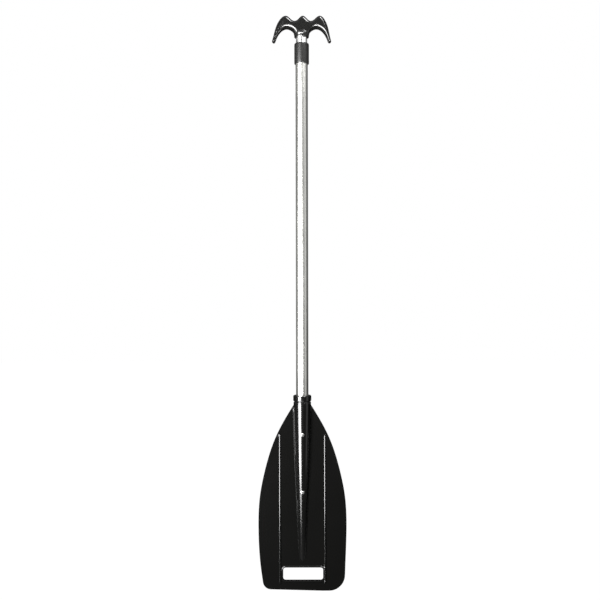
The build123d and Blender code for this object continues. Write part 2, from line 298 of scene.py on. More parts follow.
def rounded(corners: Any, radii: Sequence[float], steps: int = 8) -> Array:
    """A polyline whose inner corners are rounded.

    At a corner with unit directions u (back) and v (ahead) the arc is the quadratic curve
    from the corner + r*u through the corner to the corner + r*v, which hugs a circle
    closely enough for an edge radius.

    Args:
        corners: the corner points, one row each, first and last kept.
        radii: how far back each inner corner's rounding starts.
        steps: points along each rounding.
    """
    corners = np.array(corners, float)
    rows = [corners[:1]]
    t = np.linspace(0.0, 1.0, steps)[:, None]
    for before, corner, after, radius in zip(corners, corners[1:], corners[2:], radii):
        start = corner + radius * unit(before - corner)
        end = corner + radius * unit(after - corner)
        rows.append((1 - t) ** 2 * start + 2 * t * (1 - t) * corner + t**2 * end)
    return np.vstack(rows + [corners[-1:]])


def spline(knots: Any, start: Point, end: Point, pitch: float) -> Array:
    """A smooth curve through knots, with a direction given at each end.

    With h the chord lengths and d the chords' slopes, the slopes m at the knots solve
    h[i] m[i-1] + 2 (h[i-1] + h[i]) m[i] + h[i-1] m[i+1] = 3 (h[i] d[i-1] + h[i-1] d[i]),
    so that the cubic spans meet without a jump in curvature.

    Args:
        knots: the points to pass through, one row each.
        start: the direction at the first knot.
        end: the direction at the last one.
        pitch: how far apart the curve's points are, about.
    """
    knots = np.array(knots, float)
    chord = np.linalg.norm(np.diff(knots, axis=0), axis=1)
    slope = np.diff(knots, axis=0) / chord[:, None]
    matrix, right = np.eye(len(knots)), np.zeros_like(knots)
    right[0], right[-1] = unit(np.array(start, float)), unit(np.array(end, float))
    k = np.arange(1, len(knots) - 1)
    matrix[k, k - 1], matrix[k, k + 1] = chord[k], chord[k - 1]
    matrix[k, k] = 2 * (chord[k - 1] + chord[k])
    right[k] = 3 * (chord[k, None] * slope[k - 1] + chord[k - 1, None] * slope[k])
    tangent = np.linalg.solve(matrix, right)
    reach = np.concatenate([[0.0], np.cumsum(chord)])
    where = np.linspace(0.0, reach[-1], max(6, int(round(reach[-1] / pitch))))
    span = np.clip(np.searchsorted(reach, where, side="right") - 1, 0, len(chord) - 1)
    size = chord[span, None]
    t = (where - reach[span])[:, None] / size
    return (
        (2 * t**3 - 3 * t**2 + 1) * knots[span]
        + (t**3 - 2 * t**2 + t) * size * tangent[span]
        + (3 * t**2 - 2 * t**3) * knots[span + 1]
        + (t**3 - t**2) * size * tangent[span + 1]
    )


def sheet_faces(rows: int, columns: int, wrap: bool) -> Array:
    """The quads of a grid of rows by columns, closed across its columns if wrap is set."""
    row = np.arange(rows - 1)[:, None] * columns
    column = np.arange(columns if wrap else columns - 1)[None, :]
    right = (column + 1) % columns
    corners = [row + column, row + right, row + columns + right, row + columns + column]
    return np.stack([part.ravel() for part in corners], axis=1)


@dataclass
class Shell:
    """Points and faces of one surface, or of several together."""

    points: Array
    faces: list[Array]

    def __add__(self, other: "Shell") -> "Shell":
        """Both shells in one mesh."""
        moved = [face + len(self.points) for face in other.faces]
        return Shell(np.vstack([self.points, other.points]), self.faces + moved)

    def piece(self, name: str, crease: float = 40.0) -> bpy.types.Object:
        """Makes a named object of the shell, its normals pointing out.

        Edges sharper than crease, in degrees, stay sharp.
        """
        mesh = bpy.data.meshes.new(name)
        faces = [row for block in self.faces for row in block.tolist()]
        mesh.from_pydata(self.points.tolist(), [], faces)
        work = bmesh.new()
        work.from_mesh(mesh)
        bmesh.ops.remove_doubles(work, verts=work.verts, dist=1e-7)
        bmesh.ops.dissolve_degenerate(work, edges=work.edges, dist=1e-7)
        bmesh.ops.recalc_face_normals(work, faces=work.faces)
        work.to_mesh(mesh)
        work.free()
        mesh.shade_smooth()
        mesh.set_sharp_from_angle(angle=radians(crease))
        made = bpy.data.objects.new(name, mesh)
        bpy.context.scene.collection.objects.link(made)
        return made


def turned(
    profile: Array, segments: int = 96, axis_z: float | None = None, depths: Array | None = None
) -> Shell:
    """A surface of revolution.

    A profile point (r, h) at angle a goes to (r sin a, -r cos a, h) about the shaft, or
    for a fastener on the front, at level axis_z, to (r sin a, -h, axis_z + r cos a).

    Args:
        profile: rows of radius and height, closed at the axis or back on itself.
        segments: steps round the circle.
        axis_z: the level of a fastener's axis, which points forwards.
        depths: the radii from front to back, where they differ from those across.
    """
    angle = np.linspace(0.0, 2 * pi, segments, endpoint=False)[None, :]
    radius = profile[:, :1]
    height = profile[:, 1:2] + 0 * angle
    first = radius * np.sin(angle)
    second = (radius if depths is None else depths[:, None]) * np.cos(angle)
    if axis_z is None:
        points = np.stack([first, -second, height], axis=-1)
    else:
        points = np.stack([first, -height, axis_z + second], axis=-1)
    return Shell(points.reshape(-1, 3), [sheet_faces(len(profile), segments, True)])


def distance_to(points: Array, line: Array) -> Array:
    """Distance of each 2-D point from a polyline: the least over its segments."""
    start, step = line[:-1], np.diff(line, axis=0)
    best = np.full(len(points), np.inf)
    for block in np.array_split(np.arange(len(start)), max(1, len(start) // 40)):
        offset = points[:, None, :] - start[None, block, :]
        along = (offset * step[block]).sum(-1) / np.maximum((step[block] ** 2).sum(-1), 1e-18)
        gap = offset - np.clip(along, 0, 1)[..., None] * step[block]
        best = np.minimum(best, np.linalg.norm(gap, axis=-1).min(1))
    return best


def inside(points: Array, loop: Array) -> Array:
    """Which 2-D points lie inside a closed loop, by counting crossings to the right."""
    x, z = points[:, 0], points[:, 1]
    count = np.zeros(len(points), int)
    start, end = loop, np.roll(loop, -1, axis=0)
    for block in np.array_split(np.arange(len(loop)), max(1, len(loop) // 60)):
        low, high = start[block], end[block]
        spans = (low[:, 1] > z[:, None]) != (high[:, 1] > z[:, None])
        rise = np.where(high[:, 1] == low[:, 1], 1e-12, high[:, 1] - low[:, 1])
        cross = low[:, 0] + (z[:, None] - low[:, 1]) / rise * (high[:, 0] - low[:, 0])
        count += (spans & (x[:, None] < cross)).sum(1)
    return count % 2 == 1


def spaced(line: Array, pitch: float, closed_line: bool = True) -> Array:
    """The same line with points about a pitch apart, measured along it."""
    ends = closed(line) if closed_line else line
    run = np.concatenate([[0.0], np.cumsum(np.linalg.norm(np.diff(ends, axis=0), axis=1))])
    count = max(8, int(round(run[-1] / pitch)))
    where = np.linspace(0.0, run[-1], count, endpoint=not closed_line)
    return np.stack([np.interp(where, run, ends[:, k]) for k in (0, 1)], axis=1)


def inset(line: Array, gap: float) -> Array:
    """A line moved a gap to its left, which is inwards for an anticlockwise loop."""
    tangent = unit(np.gradient(line, axis=0))
    return line + gap * np.stack([-tangent[:, 1], tangent[:, 0]], axis=1)


def closed(loop: Array) -> Array:
    """A loop with its first point repeated at its end."""
    return np.vstack([loop, loop[:1]])


def paired_sheets(
    loops: Sequence[Array], rims: Sequence[tuple[Array, Array]], interior: Array,
    lift: Callable[[Array], Array],
) -> Shell:
    """Two facing sheets that meet along their edges.

    Rings of points follow each rim, close together where the edge turns over. A Delaunay
    triangulation joins them to the interior points, and every point is then moved forwards
    on one sheet and backwards on the other.

    Args:
        loops: the outer edge, anticlockwise, then the edge of any hole, clockwise.
        rims: a line to follow, with how far its rings lie to its left, nearest first.
        interior: points to use wherever they are clear of the rings and the edges.
        lift: half the thickness at each of the points it is given.
    """
    edges = [closed(loop) for loop in loops]

    def within(spots: Array) -> Array:
        """Which points lie inside the outer edge and outside the holes."""
        holes = [inside(spots, hole) for hole in loops[1:]]
        return inside(spots, loops[0]) & ~np.any(holes + [np.zeros(len(spots), bool)], axis=0)

    def to_edges(spots: Array) -> Array:
        """Distance from the nearest edge."""
        return np.min([distance_to(spots, edge) for edge in edges], axis=0)

    rows, fixed, first = list(loops), [], 0
    for loop in loops:
        count = len(loop)
        fixed += [(first + k, first + (k + 1) % count) for k in range(count)]
        first += count
    edge_gap, ring_gap = 0.3 * MM, 0.85 * MM  # that the interior points keep
    clear = within(interior) & (to_edges(interior) > edge_gap)
    for line, gaps in rims:
        for gap in gaps:
            ring = inset(line, gap)
            rows.append(ring[(distance_to(ring, line) > 0.96 * gap) & within(ring)])
        clear &= distance_to(interior, line) > gaps[-1] + ring_gap
    spots = np.vstack(rows + [interior[clear]])
    found = delaunay_2d_cdt([Vector(spot) for spot in spots], fixed, [], 0, 1e-7)
    flat = np.array([tuple(spot) for spot in found[0]])
    triangles = np.array(found[2])
    triangles = triangles[within(flat[triangles].mean(1))]
    half = lift(flat)
    half[to_edges(flat) < 1e-6] = 0.0
    front = np.stack([flat[:, 0], -half, flat[:, 1]], axis=1)
    return Shell(front, [triangles]) + Shell(front * [1, -1, 1], [triangles[:, ::-1]])


def dress(made: bpy.types.Object, node: str, body: str, finish: Any) -> None:
    """Gives a piece its finish and its body, and hides the CAD node it replaces."""
    made.data.materials.clear()
    made.data.materials.append(finish.material())
    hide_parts(node)
    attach(made, body)
    LOG.info("%s: %d faces", made.name, len(made.data.polygons))


# ------------ blade
@dataclass(frozen=True)
class TipCorner:
    """One lower corner of the blade, and how its side draws in towards it."""

    draw: float  # how much narrower the blade is there
    low_draw: float  # and a little above it
    rise: float
    radius: float


@dataclass
class Blade:
    """The moulded blade: a rimmed plate with ribs and a slot, on a tapering spine."""

    half_thickness: float = 2.0 * MM
    edge_radius: float = 0.4 * MM
    notch_radius: float = 0.5 * MM  # where the socket cuts the plate, inside the spine
    notch_gap: float = 0.6 * MM  # between that cut and the tube
    bead_rise: float = 0.1 * MM
    bead_in: float = 3.4 * MM
    bead_spread: float = 1.5 * MM
    left_corner: TipCorner = TipCorner(10.8 * MM, 5.0 * MM, 3.4 * MM, 17.0 * MM)
    right_corner: TipCorner = TipCorner(5.6 * MM, 2.8 * MM, 0.0, 32.5 * MM)
    skew_start_x: float = 40.0 * MM
    low_side_z: float = 46.0 * MM
    widest_z: float = 137.0 * MM
    shoulder_z: float = 382.0 * MM
    flank_lean: float = radians(32.0)
    flank: tuple[Point, ...] = (  # part of the half width, and level
        (0.966, 194 * MM), (0.868, 241 * MM), (0.594, 318 * MM),
    )
    outline_pitch: float = 2 * MM
    rib_x: float = 46.3 * MM
    rib_radius: float = 2.6 * MM
    rib_rise: float = 2.1 * MM
    rib_bottom_z: float = 14.4 * MM
    rib_top_z: float = 321.0 * MM
    slot_half: tuple[float, float] = (41.0 * MM, 13.15 * MM)
    slot_centre: tuple[float, float] = (1.2 * MM, 34.85 * MM)
    slot_radius: float = 5.0 * MM
    slot_rim_width: float = 3.2 * MM
    slot_rim_rise: float = 1.4 * MM
    slot_rim_fall: float = 0.7 * MM
    spine_stations: tuple[Point, ...] = (  # mm: level, and half width and depth past the tube's
        (55.0, -9.2, -11.2), (64.0, -7.4, -9.9), (80.0, -5.9, -7.9), (104.0, -5.1, -5.6),
        (145.0, -3.4, -3.4), (186.0, -1.9, -1.9), (248.0, 1.1, 1.1), (322.0, 3.6, 3.6),
    )
    spine_root: float = 1.7 * MM
    root_part: float = 0.45  # of the spine's rise, where that is small
    spine_wall: float = 5.3 * MM  # at the lip
    bore_fit: float = 0.02 * MM
    lip_height: float = 11.6 * MM
    groove_depth: float = 1.4 * MM
    groove_height: float = 3.2 * MM
    tube_bottom_z: float = 188.0 * MM

    def __post_init__(self) -> None:
        """Reads the overall sizes from the frame and works out the spine's taper."""
        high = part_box("blade")[1]
        self.half_width = high.x
        self.top_z = high.z
        self.lip_radius = high.y
        self.tube_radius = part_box("outer_tube")[1].x
        self.taper = self.spine_taper()

    def spine_taper(self) -> Array:
        """Rows of level, half width and half depth up the spine.

        It is round where the tube fills it and flattens into the plate below.
        """
        groove_z = self.top_z - self.lip_height - self.groove_height
        rows = np.array(self.spine_stations) * MM
        rows = np.vstack([rows, [groove_z, self.spine_wall, self.spine_wall]])
        rows[:, 1:] += self.tube_radius
        return spline(rows, rows[1] - rows[0], rows[-1] - rows[-2], 3 * MM)

    # ---- Outline
    def side(self, sign: int, tip: TipCorner) -> Array:
        """One side of the outline, from its tip corner up to the shoulder."""
        half, shoulder_x = self.half_width, self.tube_radius + self.spine_wall
        widest = (sign * half, self.widest_z)
        foot = (sign * (half - tip.draw), tip.rise)
        low = (sign * (half - tip.low_draw), self.low_side_z)
        pitch, lean_in = self.outline_pitch, (sign * 0.12, 1.0)
        lower = spline([foot, low, widest], lean_in, (0.0, 1.0), pitch)
        knots = [widest] + [(sign * part * half, z) for part, z in self.flank]
        knots.append((sign * shoulder_x, self.shoulder_z))
        lean = (-sign * sin(self.flank_lean), cos(self.flank_lean))
        return np.vstack([lower[:-1], spline(knots, (0.0, 1.0), lean, pitch)])

    def arc(self, before: Array, corner: Array, after: Array, radius: float) -> Array:
        """The circular arc that rounds a corner between two edges."""
        back, ahead = unit(before - corner), unit(after - corner)
        half_angle = np.arccos(back @ ahead) / 2
        centre = corner + unit(back + ahead) * radius / np.sin(half_angle)
        start = corner + back * radius / np.tan(half_angle) - centre
        end = corner + ahead * radius / np.tan(half_angle) - centre
        first, last = np.arctan2(start[1], start[0]), np.arctan2(end[1], end[0])
        turn = (last - first + pi) % (2 * pi) - pi
        angle = first + turn * np.linspace(0, 1, 20)
        return centre + radius * np.stack([np.cos(angle), np.sin(angle)], axis=1)

    def notch(self) -> Array:
        """The plate's edge inside the socket, from the right shoulder to the left one."""
        reach = self.tube_radius + self.notch_gap
        end = [reach - SWAGE_DEPTH, self.tube_bottom_z - self.notch_gap]
        right = np.array([[reach, self.shoulder_z], [reach, SWAGE_TOP_Z], end])
        return np.vstack([right, right[::-1] * [-1, 1]])

    def outline(self) -> Array:
        """The plate's free edge, anticlockwise seen from the front, shoulder to shoulder."""
        left = self.side(-1, self.left_corner)[::-1]
        right = self.side(1, self.right_corner)
        middle = np.array([self.skew_start_x, 0.0])
        left_reach = int(self.left_corner.radius / self.outline_pitch)
        right_reach = int(self.right_corner.radius / self.outline_pitch)
        left_arc = self.arc(left[-left_reach], left[-1], middle, self.left_corner.radius)
        right_arc = self.arc(middle, right[0], right[right_reach], self.right_corner.radius)
        left = left[left[:, 1] > left_arc[0, 1] + 1 * MM]
        right = right[right[:, 1] > right_arc[-1, 1] + 1 * MM]
        return np.vstack([left, left_arc, middle, right_arc, right])

    def slot(self) -> Array:
        """The slot's edge: a rectangle with round corners, clockwise."""
        angle = np.linspace(0, 2 * pi, 48, endpoint=False) + pi / 96
        core = np.array(self.slot_half) - self.slot_radius
        reach = np.stack([np.cos(angle), np.sin(angle)], axis=1)
        loop = np.sign(reach) * core + self.slot_radius * reach
        return (loop + self.slot_centre)[::-1]

    # ---- Height of the face
    def spine_width(self, z: Array) -> Array:
        """The spine's half width at each level."""
        return np.interp(z, self.taper[:, 0], self.taper[:, 1], left=0.0)

    def spine_depth(self, z: Array) -> Array:
        """The spine's half depth, from front to back, at each level."""
        return np.interp(z, self.taper[:, 0], self.taper[:, 2], left=0.0)

    def rib(self, spots: Array) -> Array:
        """Height of a half-round rib above the plate: a circle about the rib's line."""
        low, high = self.rib_bottom_z + self.rib_radius, self.rib_top_z - self.rib_radius
        across = np.abs(spots[:, 0]) - self.rib_x
        past = spots[:, 1] - np.clip(spots[:, 1], low, high)
        gap = np.hypot(across, past)
        circle = np.sqrt(np.maximum(self.rib_radius**2 - gap**2, 0.0))
        dome = circle - (self.rib_radius - self.rib_rise)
        soft = 0.25 * MM
        return 0.5 * (dome + np.sqrt(dome**2 + soft**2))

    def height(self, spots: Array, to_edge: Array, to_notch: Array, to_slot: Array) -> Array:
        """Half the plate's thickness at each spot.

        A soft bead near the edge and a root that climbs the spine in a quarter circle are
        added to the plate's own half thickness, then the higher of the slot's raised rim
        and the ribs. The sum falls to zero at every edge along a quarter ellipse.
        """
        bead = self.bead_rise * np.exp(-(((to_edge - self.bead_in) / self.bead_spread) ** 2))
        past_rim = (to_slot - self.slot_rim_width) / self.slot_rim_fall
        rim = self.slot_rim_rise / (1 + np.exp(np.clip(4 * past_rim, -40, 40)))
        depth = self.spine_depth(spots[:, 1])
        root = np.clip(self.root_part * (depth - self.half_thickness), 1e-6, self.spine_root)
        out = np.clip(np.abs(spots[:, 0]) - self.spine_width(spots[:, 1]), 0.0, root)
        climb = root - np.sqrt(np.maximum(root**2 - (root - out) ** 2, 0.0))
        full = self.half_thickness + bead + climb + np.maximum(rim, self.rib(spots))
        near = np.minimum(np.minimum(to_edge, to_slot) / self.edge_radius,
                          to_notch / self.notch_radius)
        return full * np.sqrt(1 - (1 - np.clip(near, 0.0, 1.0)) ** 2)

    # ---- Points
    def grid_spots(self) -> Array:
        """Points inside the plate: fine lines along the ribs and the spine, coarse elsewhere."""
        levels = np.arange(4.0, 381.0, 3.0) * MM
        coarse = np.arange(-87.0, 87.1, 3.0) * MM
        offsets = np.array([-3.6, -2.7, -2.3, -1.9, -1.3, -0.6, 0.0, 0.6, 1.3, 1.9, 2.3, 2.7, 3.6])
        ribs = np.concatenate([side * self.rib_x + offsets * MM for side in (-1, 1)])
        ends = np.array([self.rib_bottom_z, self.rib_top_z])[:, None] + offsets * 0.9 * MM
        rib_levels = np.union1d(levels, np.round(ends.ravel(), 6))
        plain = coarse[np.abs(np.abs(coarse) - self.rib_x) > 4.4 * MM]
        open_spots = np.stack(np.meshgrid(plain, levels), -1).reshape(-1, 2)
        rib_spots = np.stack(np.meshgrid(ribs, rib_levels), -1).reshape(-1, 2)
        steps = np.array([-0.6, 0.0, 0.35, 0.8, 1.4, 2.2, 3.1, 4.2]) * MM
        beside = levels[levels > self.taper[0, 0]]
        near = self.spine_width(beside)[:, None] + steps[None, :]
        flanks = np.stack([near, beside[:, None] + 0 * near], axis=-1).reshape(-1, 2)
        spots = np.vstack([open_spots, rib_spots])
        gap = np.abs(np.abs(spots[:, 0]) - self.spine_width(spots[:, 1]) - 1.8 * MM)
        return np.vstack([spots[gap > 3.2 * MM], flanks, flanks * [-1, 1]])

    def plate(self) -> Shell:
        """Both faces of the plate, joined at its edges."""
        free = spaced(self.outline(), 1.9 * MM, closed_line=False)
        notch, slot = self.notch(), spaced(self.slot(), 1.6 * MM)
        outline = np.vstack([free, spaced(notch, 1.9 * MM, closed_line=False)])
        free_gaps = np.array([0.06, 0.16, 0.4, 1.0, 2.2, 3.4, 5.0]) * MM
        slot_gaps = np.array([0.06, 0.16, 0.4, 1.0, 2.2, 2.8, 3.2, 3.7, 4.4]) * MM
        rims = [(free, free_gaps), (closed(slot), slot_gaps)]

        def lift(flat: Array) -> Array:
            """Half the thickness at each point, from its distances to the edges."""
            to_slot = distance_to(flat, closed(slot))
            return self.height(flat, distance_to(flat, free), distance_to(flat, notch), to_slot)

        return paired_sheets([outline, slot], rims, self.grid_spots(), lift)

    def spine(self) -> Shell:
        """The spine, the lip and the bore for the tube, turned about the shaft."""
        lip_z = self.top_z - self.lip_height
        bore, foot = self.tube_radius + self.bore_fit, self.tube_radius - SWAGE_DEPTH
        floor_radius = self.taper[-1, 1] - self.groove_depth
        corners = [
            [self.taper[-1, 1], self.taper[-1, 0]],
            [floor_radius, lip_z - 0.35 * self.groove_height], [floor_radius, lip_z],
            [self.lip_radius - 0.4 * MM, lip_z + 0.2 * MM], [self.lip_radius, lip_z + 1.0 * MM],
            [self.lip_radius, self.top_z], [bore, self.top_z], [bore, SWAGE_TOP_Z],
            [foot, self.tube_bottom_z], [0.0, self.tube_bottom_z],
        ]
        soft = np.array([0.3, 0.3, 0.4, 0.6, 2.6, 1.2, 4.0, 0.2]) * MM
        top = rounded(corners, soft, 10)
        start = [[0.0, self.taper[0, 0] - 1 * MM]]
        profile = np.vstack([start, self.taper[:, [1, 0]], top])
        depths = np.concatenate([[0.0], self.taper[:, 2], top[:, 0]])
        return turned(profile, ROUND, depths=depths)

    def build(self, finish: MouldedBlack) -> None:
        """Makes the blade as one piece and dresses it."""
        made = (self.plate() + self.spine()).piece("blade_moulding", 50.0)
        dress(made, "blade", "blade_section", finish)


# ------------ shaft
@dataclass
class Shaft:
    """The outer tube with its collar, and the rivets that hold it in the blade."""

    tube_wall: float = 0.7 * MM
    edge: float = 0.2 * MM
    collar_top_radius: float = 3.0 * MM
    collar_bottom_radius: float = 2.2 * MM
    rivet_levels: tuple[float, ...] = (204.6 * MM, 323.0 * MM)
    core_radius: float = 1.4 * MM
    head_radius: float = 3.9 * MM
    head_height: float = 1.3 * MM
    head_brim: float = 0.75 * MM  # the domed part of that height
    head_flat: tuple[float, float] = (0.62, 0.12 * MM)  # part of the radius, below the front
    shank_radius: float = 2.4 * MM
    bulb_radius: float = 3.1 * MM
    bulb_height: float = 2.6 * MM
    seat_depth: float = 0.6 * MM  # of the spine's flat under a head
    bulb_gap: float = 0.5 * MM
    collar_fit: float = 0.06 * MM

    def __post_init__(self) -> None:
        """Reads the levels from the frame."""
        low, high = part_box("outer_tube")
        self.radius, self.bottom_z, self.top_z = high.x, low.z, high.z
        low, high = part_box("collar")
        self.collar_radius, self.collar_z, self.collar_top_z = high.x, low.z, high.z
        self.inner_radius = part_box("inner_tube")[1].x

    def tube(self) -> Shell:
        """The long tube and its swaged lower end, with a wall."""
        bore, foot = self.radius - self.tube_wall, self.radius - SWAGE_DEPTH
        corners = [
            [foot - self.tube_wall, self.bottom_z], [foot, self.bottom_z],
            [self.radius, SWAGE_TOP_Z], [self.radius, self.top_z], [bore, self.top_z],
            [bore, SWAGE_TOP_Z], [foot - self.tube_wall, self.bottom_z],
        ]
        soft = [self.edge, 4 * MM, self.edge, self.edge, 4 * MM]
        return turned(rounded(corners, soft), ROUND)

    def collar(self) -> Shell:
        """The sleeve over the tube's end, with soft shoulders and a lip inside."""
        guide = self.inner_radius + self.collar_fit
        corners = [
            [self.radius, self.collar_z], [self.collar_radius, self.collar_z],
            [self.collar_radius, self.collar_top_z], [guide, self.collar_top_z],
            [guide, self.top_z], [self.radius, self.top_z], [self.radius, self.collar_z],
        ]
        soft = [self.collar_bottom_radius, self.collar_top_radius, 0.4 * MM, self.edge, self.edge]
        return turned(rounded(corners, soft, 12), ROUND)

    def rivets(self, blade: Blade) -> Shell:
        """Both blind rivets: a domed head, the shank and the bulb, hollow for the mandrel."""
        shells, (flat_part, flat_drop) = [], self.head_flat
        for z in self.rivet_levels:
            seat = float(blade.spine_width(np.array([z]))[0]) - self.seat_depth
            front = seat + self.head_height
            inner = min(self.radius, self.tube_radius_at(z)) - self.tube_wall - self.bulb_gap
            back = inner - self.bulb_height
            corners = [
                [self.core_radius, back], [self.bulb_radius, back], [self.bulb_radius, inner],
                [self.shank_radius, inner], [self.shank_radius, seat], [self.head_radius, seat],
                [self.head_radius, front - self.head_brim],
                [flat_part * self.head_radius, front - flat_drop], [self.core_radius, front],
                [self.core_radius, back],
            ]
            soft = np.array([0.8, 0.8, 0.05, 0.05, 0.05, 0.3, 1.0, 0.2]) * MM
            shells.append(turned(rounded(corners, soft, 6), 48, z))
        return shells[0] + shells[1]

    def tube_radius_at(self, z: float) -> float:
        """The tube's outer radius at a level."""
        taper = SWAGE_DEPTH / (SWAGE_TOP_Z - self.bottom_z)
        return self.radius - SWAGE_DEPTH + (z - self.bottom_z) * taper

    def build(self, blade: Blade, finishes: "Finishes") -> None:
        """Makes the shaft's pieces and dresses them."""
        tube, collar = self.tube().piece("outer_tube_skin"), self.collar().piece("collar_sleeve")
        pair, body = self.rivets(blade).piece("blade_rivet_pair"), "blade_section"
        dress(tube, "outer_tube", body, finishes.tube)
        dress(collar, "collar", body, finishes.collar)
        dress(pair, "blade_rivets", body, finishes.rivet)


# ------------ handle
@dataclass
class Handle:
    """The double boat hook, the inner tube it sits on and the rivet between them."""

    thickness: float = 24.0 * MM
    tip_thickness: float = 18.0 * MM
    full_thickness_x: float = 36.0 * MM
    edge_radius: float = 8.0 * MM
    crown_shift: float = 2.4 * MM
    shoulder_shift: float = 1.2 * MM
    valley: tuple[float, float] = (16.6 * MM, 10.6 * MM)  # out from the crown, below the top
    peak_x: float = 34.8 * MM
    shoulder: tuple[float, float] = (48.3 * MM, 11.0 * MM)
    prong_tip_drop: float = 11.6 * MM
    prong_tip_radius: float = 3.7 * MM
    prong_lean: float = radians(18.0)
    throat_top: tuple[float, float] = (30.6 * MM, 17.6 * MM)  # above the neck's rim
    throat_outer: tuple[float, float] = (44.4 * MM, 9.3 * MM)
    throat_corner: float = 4.5 * MM
    sleeve_height: float = 4.0 * MM  # of the neck's plain part, under a bead
    bead_height: float = 6.5 * MM
    bead: float = 1.0 * MM
    sleeve_flat: float = 1.0 * MM  # how much shallower than wide the sleeve is
    neck_blend: float = 15.0 * MM
    tube_in_handle: float = 11.5 * MM
    tube_wall: float = 0.8 * MM
    rivet_shank: float = 1.3 * MM
    rivet_sink: float = 0.3 * MM
    voxel: float = 0.65 * MM
    smoothing: int = 10

    def __post_init__(self) -> None:
        """Reads the levels from the frame."""
        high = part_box("hook_handle")[1]
        self.half_width, self.top_z = high.x, high.z
        self.neck_radius = high.y - self.bead
        low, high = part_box("inner_tube")
        self.tube_radius, self.tube_bottom_z, self.tube_top_z = high.x, low.z, high.z
        self.rim_z = high.z - self.tube_in_handle
        low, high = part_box("handle_rivet")
        self.rivet_z, self.rivet_radius = (low.z + high.z) / 2, high.x
        self.rivet_front, self.rivet_back = -low.y, -high.y

    def half_outline(self, sign: int) -> Array:
        """One side of the outline: crown, valley, peak, shoulder, prong, arch and neck."""
        top, rim = self.top_z, self.rim_z
        crown = (self.crown_shift, top)
        valley = (self.crown_shift + sign * self.valley[0], top - self.valley[1])
        peak = (self.crown_shift + sign * self.peak_x, top)
        shoulder = (self.shoulder_shift + sign * self.shoulder[0], top - self.shoulder[1])
        arch = (sign * self.throat_top[0], rim + self.throat_top[1])
        arch_side = (sign * self.throat_outer[0], rim + self.throat_outer[1])
        neck = (sign * self.neck_radius, rim + self.throat_corner)
        radius = self.prong_tip_radius
        centre = np.array([sign * (self.half_width - radius), rim - self.prong_tip_drop + radius])
        down = np.array([sign * sin(self.prong_lean), -cos(self.prong_lean)])
        out = np.array([sign * cos(self.prong_lean), sin(self.prong_lean)])
        angle = np.linspace(0, pi, 12)[1:-1, None]
        tip = centre + radius * (np.cos(angle) * out + np.sin(angle) * down)
        outer, inner = centre + radius * out, centre - radius * out
        level, pitch = (float(sign), 0.0), 0.8 * MM
        lines = [
            spline([crown, valley], level, level, pitch)[:-1],
            spline([valley, peak], level, level, pitch)[:-1],
            spline([peak, shoulder, outer], level, down, pitch),
            tip,
            spline([inner, arch_side, arch], -down, (-level[0], 0.0), pitch)[:-1],
            spline([arch, neck], (-level[0], 0.0), (0.0, -1.0), pitch),
        ]
        return np.vstack(lines)

    def body(self) -> Shell:
        """The hooks: full in the middle, thinner towards the prongs, with round edges."""
        left, right = self.half_outline(-1), self.half_outline(1)
        outline = spaced(np.vstack([left, right[:0:-1]]), 0.9 * MM)
        edge = closed(outline)
        low, high = outline.min(0), outline.max(0)
        axes = [np.arange(low[k], high[k], 1.6 * MM) for k in (0, 1)]
        interior = np.stack(np.meshgrid(*axes), -1).reshape(-1, 2)

        def lift(flat: Array) -> Array:
            """Half the thickness: it narrows outwards and ends in a quarter ellipse."""
            far = np.abs(flat[:, 0]) - self.full_thickness_x
            fade = np.clip(far / (self.half_width - self.full_thickness_x), 0.0, 1.0)
            full = self.thickness + (self.tip_thickness - self.thickness) * fade
            near = np.clip(distance_to(flat, edge) / self.edge_radius, 0.0, 1.0)
            return full / 2 * np.sqrt(1 - (1 - near) ** 2)

        gaps = np.array([0.1, 0.35, 0.8, 1.4, 2.2, 3.1, 4.2, 5.5, 6.9, 8.3]) * MM
        return paired_sheets([outline], [(edge, gaps)], interior, lift)

    def neck(self) -> Shell:
        """The neck: a sleeve for the tube under a bead that sinks into the hooks' faces."""
        rim, blend = self.rim_z, self.rim_z + self.neck_blend
        tube, sleeve = self.tube_radius, self.neck_radius
        bead, middle = sleeve + self.bead, self.thickness / 2 - 1.2 * MM
        shallow = sleeve - self.sleeve_flat
        corners = [
            [0.0, rim + self.tube_in_handle, 0.0], [tube, rim + self.tube_in_handle, tube],
            [tube, rim, tube], [sleeve, rim, shallow], [sleeve, rim + self.sleeve_height, shallow],
            [bead, rim + self.bead_height, bead], [middle, blend, middle], [0.0, blend, 0.0],
        ]
        soft = np.array([0.1, 0.3, 0.8, 0.4, 1.2, 4.0]) * MM
        profile = rounded(corners, soft, 10)
        return turned(profile[:, :2], depths=profile[:, 2])

    def moulded(self) -> bpy.types.Object:
        """Hooks and neck run together: remeshed as one skin, then smoothed."""
        made = (self.body() + self.neck()).piece("hook_handle_moulding")
        melt = made.modifiers.new("one_skin", "REMESH")
        melt.mode, melt.voxel_size = "VOXEL", self.voxel
        melt.use_smooth_shade = True
        ease = made.modifiers.new("ease", "SMOOTH")
        ease.factor, ease.iterations = 0.5, self.smoothing
        bpy.context.view_layer.update()
        graph = bpy.context.evaluated_depsgraph_get()
        mesh = bpy.data.meshes.new_from_object(made.evaluated_get(graph))
        made.modifiers.clear()
        made.data = mesh
        mesh.shade_smooth()
        return made

    def tube(self) -> Shell:
        """The inner tube with its wall."""
        bore = self.tube_radius - self.tube_wall
        corners = [
            [bore, self.tube_bottom_z], [self.tube_radius, self.tube_bottom_z],
            [self.tube_radius, self.tube_top_z], [bore, self.tube_top_z],
            [bore, self.tube_bottom_z],
        ]
        return turned(rounded(corners, [0.2 * MM] * 3, 4), ROUND)

